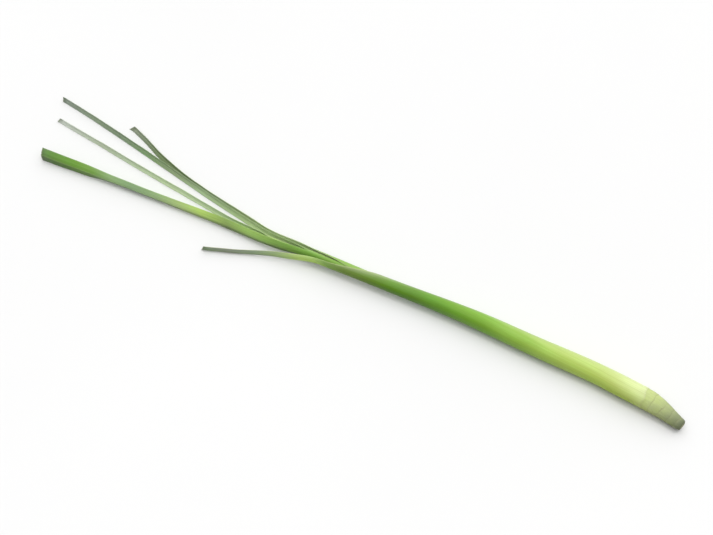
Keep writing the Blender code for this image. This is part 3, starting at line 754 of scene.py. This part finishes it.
def stem_material(name, seed=30.0):
    m = Nodes(name, roughness=0.58, specular=0.30, sheen=0.04, subsurface=0.0)
    along, face, radius = m.attr("along"), m.attr("face"), m.attr("radius")
    ac, as_, scar, band = m.attr("ac"), m.attr("as"), m.attr("scar"), m.attr("band")
    wrap = m.xyz(m.math("MULTIPLY", ac, 5.0), m.math("MULTIPLY", as_, 5.0), m.math("MULTIPLY", along, 0.10))
    fib = m.noise(wrap, 1.6, 4.0, 0.65, seed)
    fine = m.noise(m.xyz(m.math("MULTIPLY", ac, 16.0), m.math("MULTIPLY", as_, 16.0), m.math("MULTIPLY", along, 0.22)), 1.2, 3.0, 0.6, seed + 9)
    patch = m.noise(m.xyz(m.math("MULTIPLY", ac, 1.4), m.math("MULTIPLY", as_, 1.4), m.math("MULTIPLY", along, 0.16)), 1.0, 3.0, 0.5, seed + 2)
    place = m.span(along, 259.0, 226.0, smooth=False)
    col = m.ramp(m.math("ADD", place, m.math("MULTIPLY", m.math("SUBTRACT", patch, 0.5), 0.30)), [
        (0.0, lin(96, 104, 76)), (0.12, lin(118, 127, 92)), (0.32, lin(145, 155, 109)), (0.60, lin(170, 182, 122)), (0.82, lin(184, 197, 128)), (1.0, lin(186, 200, 128))])
    col = m.hsv(col, 0.5, m.math("ADD", 0.85, m.math("MULTIPLY", patch, 0.3)),
                m.math("ADD", m.math("ADD", 0.70, m.math("MULTIPLY", fib, 0.36)), m.math("MULTIPLY", fine, 0.24)))
    # painted shade: the underside is darker and more olive than the top
    under = m.span(as_, 0.80, -0.45)
    col = m.mix(m.math("MULTIPLY", under, 0.80), col, m.mix(1.0, col, lin(196, 197, 140), "MULTIPLY"))
    # faint lines where old leaves came away, each with a paler band on its root side
    col = m.mix(m.math("MULTIPLY", band, 0.16), col, lin(196, 200, 156))
    col = m.mix(m.math("MULTIPLY", scar, m.math("ADD", 0.10, m.math("MULTIPLY", fib, 0.55)), clamp=True), col, lin(108, 102, 66))
    # small brown flecks of old fibre
    fleck = m.noise(m.xyz(m.math("MULTIPLY", ac, 4.0), m.math("MULTIPLY", as_, 4.0), m.math("MULTIPLY", along, 0.55)), 1.5, 3.0, 0.5, seed + 12)
    col = m.mix(m.math("MULTIPLY", m.span(fleck, 0.62, 0.74), 0.35), col, lin(120, 110, 70))
    # darker towards the cut root end
    cut_end_dark = m.math("MULTIPLY", m.math("SUBTRACT", 1.0, m.span(m.math("SUBTRACT", 259.0, along), 0.2, 5.0)), 0.40)
    col = m.mix(m.math("MULTIPLY", cut_end_dark, m.math("ADD", 0.4, fib)), col, lin(92, 96, 70))
    # the cut face: fibre ends in a dull ground, browner at its rim
    dots = m.noise(m.xyz(m.math("MULTIPLY", m.math("MULTIPLY", ac, radius), 9.0), m.math("MULTIPLY", m.math("MULTIPLY", as_, radius), 9.0), 0.0), 1.4, 2.0, 0.5, seed + 5)
    circles = m.math("SINE", m.math("ADD", m.math("MULTIPLY", radius, 26.0), m.math("MULTIPLY", patch, 3.0)))
    disc = m.ramp(radius, [(0.0, lin(168, 166, 122)), (0.50, lin(158, 156, 112)), (0.80, lin(134, 132, 94)), (1.0, lin(104, 102, 70))])
    disc = m.mix(m.math("MULTIPLY", m.span(dots, 0.54, 0.68), 0.6), disc, lin(100, 92, 58))
    disc = m.hsv(disc, 0.5, 1.0, m.math("ADD", 0.96, m.math("MULTIPLY", circles, 0.08)))
    col = m.mix(m.span(face, 0.4, 0.6), col, disc)
    rough = m.math("ADD", 0.5, m.math("MULTIPLY", patch, 0.2))
    n1 = m.bump(m.math("ADD", m.math("MULTIPLY", fib, 0.8), m.math("MULTIPLY", fine, 0.5)), 0.0004, 0.55)
    return m.finish(col, rough, n1)


GREENS = {
    "leaf_1": leaf_material("outer_sheath", [
        (230, lin(190, 202, 132)), (222, lin(196, 212, 128)), (205, lin(186, 204, 108)), (188, lin(180, 204, 100)), (170, lin(174, 200, 94)), (152, lin(164, 196, 88)),
        (138, lin(146, 184, 70)), (122, lin(140, 182, 68)), (106, lin(122, 170, 48)), (90, lin(114, 162, 42)), (74, lin(102, 154, 34)),
        (56, lin(94, 140, 30)), (36, lin(94, 140, 22)), (18, lin(100, 131, 38)), (2, lin(100, 129, 42)), (-12, lin(116, 153, 62)),
        (-24, lin(168, 202, 98)), (-36, lin(174, 204, 108)), (-50, lin(150, 174, 116)), (-66, lin(130, 148, 118)), (-84, lin(128, 136, 118)), (-101, lin(116, 138, 104))],
        [(228, lin(214, 216, 174)), (60, lin(190, 214, 146)), (-10, lin(212, 234, 162)), (-40, lin(176, 200, 128)), (-72, lin(134, 148, 122)), (-101, lin(124, 142, 110))],
        lin(196, 200, 150), 1.0, 0.44, 0.12, side=1.0, old=0.10),
    "leaf_2": leaf_material("old_blade", [
        (222, lin(210, 216, 160)), (60, lin(156, 194, 90)), (0, lin(134, 172, 76)), (-30, lin(128, 164, 78)), (-80, lin(118, 146, 84)),
        (-130, lin(110, 132, 76)), (-199, lin(130, 142, 108))],
        # the inside is very pale near the collar: partly its own paler colour, partly painted light on the face that
        # lies in shade in the open channel
        [(222, lin(222, 226, 184)), (30, lin(200, 224, 160)), (-20, lin(226, 242, 190)), (-50, lin(216, 232, 178)), (-80, lin(198, 218, 160)), (-110, lin(176, 197, 150)), (-140, lin(136, 156, 112)),
         (-168, lin(118, 138, 94)), (-185, lin(132, 146, 120)), (-199, lin(152, 158, 142))],
        lin(168, 182, 136), 2.0, 0.50, 0.12, midrib=lin(186, 200, 152)),
    "leaf_3": leaf_material("broad_blade", [
        (215, lin(214, 220, 170)), (40, lin(146, 188, 80)), (-30, lin(112, 156, 60)), (-56, lin(120, 156, 70)), (-74, lin(140, 174, 88)), (-92, lin(126, 152, 80)),
        (-112, lin(166, 196, 98)), (-130, lin(162, 186, 116)), (-150, lin(148, 176, 122)), (-170, lin(134, 165, 118)), (-188, lin(140, 170, 114)),
        (-202, lin(112, 150, 68)), (-216, lin(102, 144, 50)), (-234, lin(90, 130, 52)), (-246, lin(98, 124, 78))],
        [(215, lin(224, 228, 186)), (0, lin(150, 192, 92)), (-60, lin(140, 184, 78)), (-130, lin(140, 178, 92)), (-190, lin(118, 156, 80)), (-246, lin(102, 140, 66))],
        lin(150, 172, 112), 3.0, 0.46, 0.15, midrib=lin(170, 198, 122), painted_half_shade=0.36),
    "leaf_4": leaf_material("long_blade", [
        (208, lin(216, 222, 172)), (0, lin(146, 180, 92)), (-60, lin(136, 166, 100)), (-110, lin(140, 164, 116)), (-180, lin(118, 142, 104)), (-259, lin(118, 130, 112))],
        # the inside is pale near the collar: partly its own paler colour, partly painted light on the face that lies in
        # shade in the open channel
        [(208, lin(224, 228, 186)), (0, lin(206, 226, 164)), (-40, lin(208, 228, 168)), (-70, lin(190, 212, 154)), (-100, lin(168, 192, 142)), (-125, lin(162, 187, 142)),
         (-150, lin(142, 160, 120)), (-176, lin(125, 156, 107)), (-202, lin(127, 147, 118)), (-228, lin(134, 150, 124)), (-259, lin(132, 143, 132))],
        lin(160, 176, 140), 4.0, 0.50, 0.12, midrib=lin(170, 188, 148)),
    "leaf_5": leaf_material("young_blade", [
        (201, lin(222, 226, 180)), (0, lin(150, 194, 82)), (-60, lin(140, 190, 70)), (-150, lin(122, 176, 58)), (-246, lin(96, 150, 50))],
        [(201, lin(226, 230, 188)), (0, lin(170, 208, 106)), (-60, lin(160, 198, 92)), (-150, lin(136, 182, 72)), (-246, lin(108, 154, 60))],
        lin(176, 196, 120), 5.0, 0.44, 0.12),
    "leaf_6": leaf_material("thin_blade", [
        (195, lin(222, 226, 182)), (-30, lin(150, 180, 94)), (-100, lin(166, 186, 132)), (-180, lin(166, 182, 150)), (-252, lin(170, 178, 164))],
        [(195, lin(226, 230, 188)), (-30, lin(184, 210, 128)), (-80, lin(192, 214, 156)), (-115, lin(194, 212, 172)), (-150, lin(196, 214, 172)), (-185, lin(188, 204, 172)), (-215, lin(184, 196, 170)), (-252, lin(198, 204, 196))],
        lin(190, 202, 174), 6.0, 0.50, 0.08, midrib=lin(204, 216, 186)),
}
for node, mat in GREENS.items():
    pieces[node].data.materials.append(mat)
pieces["stem_base"].data.materials.append(stem_material("woody_base"))

# ================================================================================================
# Floor, light, camera
# ================================================================================================
lo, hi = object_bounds()
centre = (lo + hi) / 2

bpy.ops.mesh.primitive_plane_add(size=9.0, location=(0.0, 0.0, 0.0))
floor = bpy.context.object
floor.name = "floor"
fm = Nodes("floor_paper", roughness=0.75, specular=0.2)
tex = fm.nt.nodes.new("ShaderNodeTexCoord")
tint = fm.noise(tex.outputs["Object"], 3.0, 3.0, 0.5, 50.0)
fm.finish(fm.ramp(tint, [(0.3, (0.775, 0.775, 0.775, 1)), (0.7, (0.79, 0.79, 0.79, 1))]))
floor.data.materials.append(fm.mat)

SOFT_FROM, SOFT_POWER = (0.06, 0.34, 0.94), 1.46

world = bpy.data.worlds.new("studio")
bpy.context.scene.world = world
world.use_nodes = True
wt = world.node_tree
sky = wt.nodes.new("ShaderNodeTexCoord")
part = wt.nodes.new("ShaderNodeSeparateXYZ")
wt.links.new(sky.outputs["Generated"], part.inputs[0])
# a pale horizon that meets the floor, dimmer above it
rise = wt.nodes.new("ShaderNodeMapRange")
rise.interpolation_type = "SMOOTHSTEP"
for key, v in (("From Min", 0.08), ("From Max", 0.26), ("To Min", 0.98), ("To Max", 0.31)):
    rise.inputs[key].default_value = v
wt.links.new(part.outputs["Z"], rise.inputs["Value"])
# one very large soft light overhead, a little behind the stalk
toward = wt.nodes.new("ShaderNodeVectorMath")
toward.operation = "DOT_PRODUCT"
toward.inputs[1].default_value = Vector(SOFT_FROM).normalized()
wt.links.new(sky.outputs["Generated"], toward.inputs[0])
lobe = wt.nodes.new("ShaderNodeMapRange")
lobe.interpolation_type = "SMOOTHSTEP"
for key, v in (("From Min", 0.30), ("From Max", 0.96), ("To Min", 0.0), ("To Max", SOFT_POWER)):
    lobe.inputs[key].default_value = v
wt.links.new(toward.outputs["Value"], lobe.inputs["Value"])
both = wt.nodes.new("ShaderNodeMath")
both.operation = "ADD"
wt.links.new(rise.outputs["Result"], both.inputs[0])
wt.links.new(lobe.outputs["Result"], both.inputs[1])
wt.links.new(both.outputs[0], wt.nodes["Background"].inputs["Strength"])
wt.nodes["Background"].inputs["Color"].default_value = (1.0, 1.0, 1.0, 1.0)


def sun(name, energy, angle, towards, colour=(1, 1, 1)):
    data = bpy.data.lights.new(name, "SUN")
    data.energy = energy
    data.angle = math.radians(angle)
    data.color = colour
    ob = bpy.data.objects.new(name, data)
    bpy.context.scene.collection.objects.link(ob)
    ob.location = Vector(towards) * 2.0
    ob.rotation_mode = "QUATERNION"
    ob.rotation_quaternion = Vector(towards).to_track_quat("Z", "Y")
    return ob


sun("key", 0.45, 16.0, (0.12, 0.16, 0.98), (1.0, 1.0, 0.98))

AZ, EL, LENS = 26.0, 60.0, 85.0
cam_data = bpy.data.cameras.new("camera")
cam_data.type = "PERSP"
cam_data.lens = LENS
cam_data.sensor_width = 36.0
cam = bpy.data.objects.new("camera", cam_data)
bpy.context.scene.collection.objects.link(cam)
a, e = math.radians(AZ), math.radians(EL)
back = Vector((math.sin(a) * math.cos(e), -math.cos(a) * math.cos(e), math.sin(e)))
aim = Vector((0.006, -0.002, 0.004))
cam.rotation_mode = "QUATERNION"
cam.rotation_quaternion = (-back).to_track_quat("-Z", "Y")
cam.location = aim + back * 1.20
cam_data.clip_start, cam_data.clip_end = 0.05, 20.0
bpy.context.scene.camera = cam
bpy.context.scene.view_settings.view_transform = "Standard"
